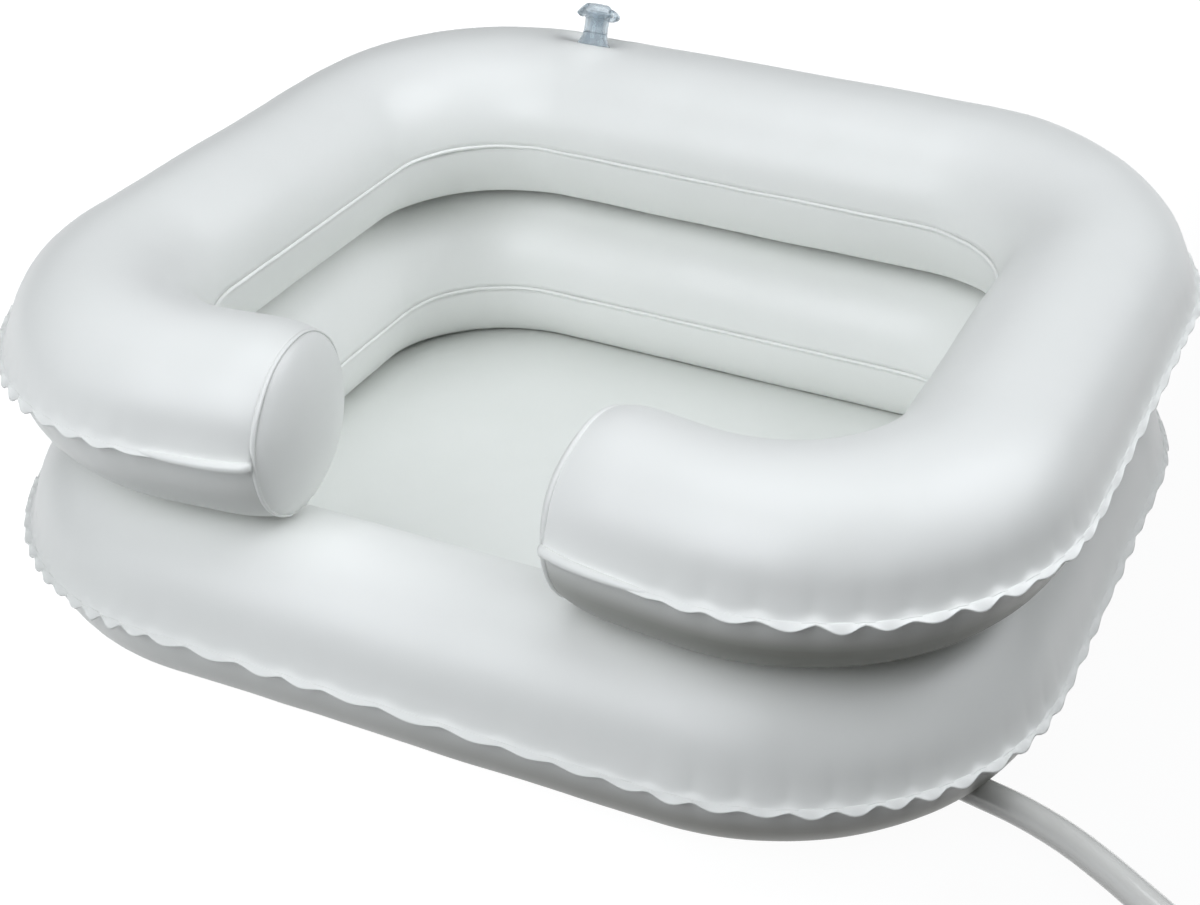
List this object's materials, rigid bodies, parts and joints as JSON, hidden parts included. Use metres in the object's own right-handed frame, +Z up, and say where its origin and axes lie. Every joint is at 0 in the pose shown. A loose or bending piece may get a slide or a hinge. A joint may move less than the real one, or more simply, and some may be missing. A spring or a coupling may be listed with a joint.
{
  "type": "portable shampoo basin",
  "caption": "Inflatable hair-washing basin: two stacked air rings with a neck gap, a film floor, push-in air valves and a floor drain with hose.",
  "frame": {"origin": "on the table plane, under the centre of the basin without its hose", "axes": "+Z up, +X to the right, the neck gap faces -Y, the air valves are at the back, +Y"},
  "size_m": [0.7935, 0.6901, 0.227],
  "materials": {
    "ring_film": "smooth white plasticised PVC film, semi-gloss",
    "floor_film": "smooth white plasticised PVC film, semi-gloss",
    "clear_vinyl": "moulded soft vinyl, translucent, glossy",
    "hose_vinyl": "extruded soft vinyl tube, off-white, glossy",
    "drain_plastic": "moulded white plastic, semi-gloss"
  },
  "bodies": {
    "root": {"lower_ring_bottom_sheet": "ring_film", "lower_ring_top_sheet": "ring_film", "upper_ring_bottom_sheet": "ring_film", "upper_ring_top_sheet": "ring_film", "lower_outer_weld_skirt": "ring_film", "upper_outer_weld_skirt": "ring_film", "lower_inner_weld_bead": "ring_film", "upper_inner_weld_bead": "ring_film", "right_arm_end_cap": "ring_film", "left_arm_end_cap": "ring_film", "right_arm_cap_weld_bead": "ring_film", "left_arm_cap_weld_bead": "ring_film", "floor_sheet": "floor_film", "drain_body": "drain_plastic", "drain_hose_run": "hose_vinyl", "drain_hose_coil": "hose_vinyl", "upper_valve_flange": "clear_vinyl", "lower_valve_flange": "clear_vinyl"},
    "upper_valve": {"upper_valve_stem": "clear_vinyl", "upper_valve_strap": "clear_vinyl"},
    "upper_valve_cap": {"upper_valve_plug": "clear_vinyl"},
    "upper_valve_check": {"upper_valve_flap": "clear_vinyl"},
    "lower_valve": {"lower_valve_stem": "clear_vinyl", "lower_valve_strap": "clear_vinyl"},
    "lower_valve_cap": {"lower_valve_plug": "clear_vinyl"},
    "lower_valve_check": {"lower_valve_flap": "clear_vinyl"},
    "drain_plug": {"drain_stopper": "drain_plastic"}
  },
  "joints": [
    {"name": "upper_valve_push", "type": "slide", "parent": "root", "child": "upper_valve", "axis": [0, 0.3473, 0.9378], "range_m": [-0.015, 0]},
    {"name": "upper_valve_uncap", "type": "slide", "parent": "upper_valve", "child": "upper_valve_cap", "axis": [0, 0.3473, 0.9378], "range_m": [0, 0.012], "deforming": ["upper_valve_strap"]},
    {"name": "upper_valve_flap_swing", "type": "hinge", "parent": "upper_valve", "child": "upper_valve_check", "pos_m": [-0.125, 0.23603, 0.19591], "axis": [1, 0, 0], "range_deg": [0, 40], "stiffness_Nm_per_rad": 0.0001, "springref_deg": -17.19},
    {"name": "lower_valve_push", "type": "slide", "parent": "root", "child": "lower_valve", "axis": [0, 0.6493, 0.7605], "range_m": [-0.015, 0]},
    {"name": "lower_valve_uncap", "type": "slide", "parent": "lower_valve", "child": "lower_valve_cap", "axis": [0, 0.6493, 0.7605], "range_m": [0, 0.012], "deforming": ["lower_valve_strap"]},
    {"name": "lower_valve_flap_swing", "type": "hinge", "parent": "lower_valve", "child": "lower_valve_check", "pos_m": [-0.125, 0.24883, 0.08357], "axis": [1, 0, 0], "range_deg": [0, 40], "stiffness_Nm_per_rad": 0.0001, "springref_deg": -17.19},
    {"name": "drain_stopper_lift", "type": "slide", "parent": "root", "child": "drain_plug", "axis": [0, 0, 1], "range_m": [0, 0.03]}
  ]
}
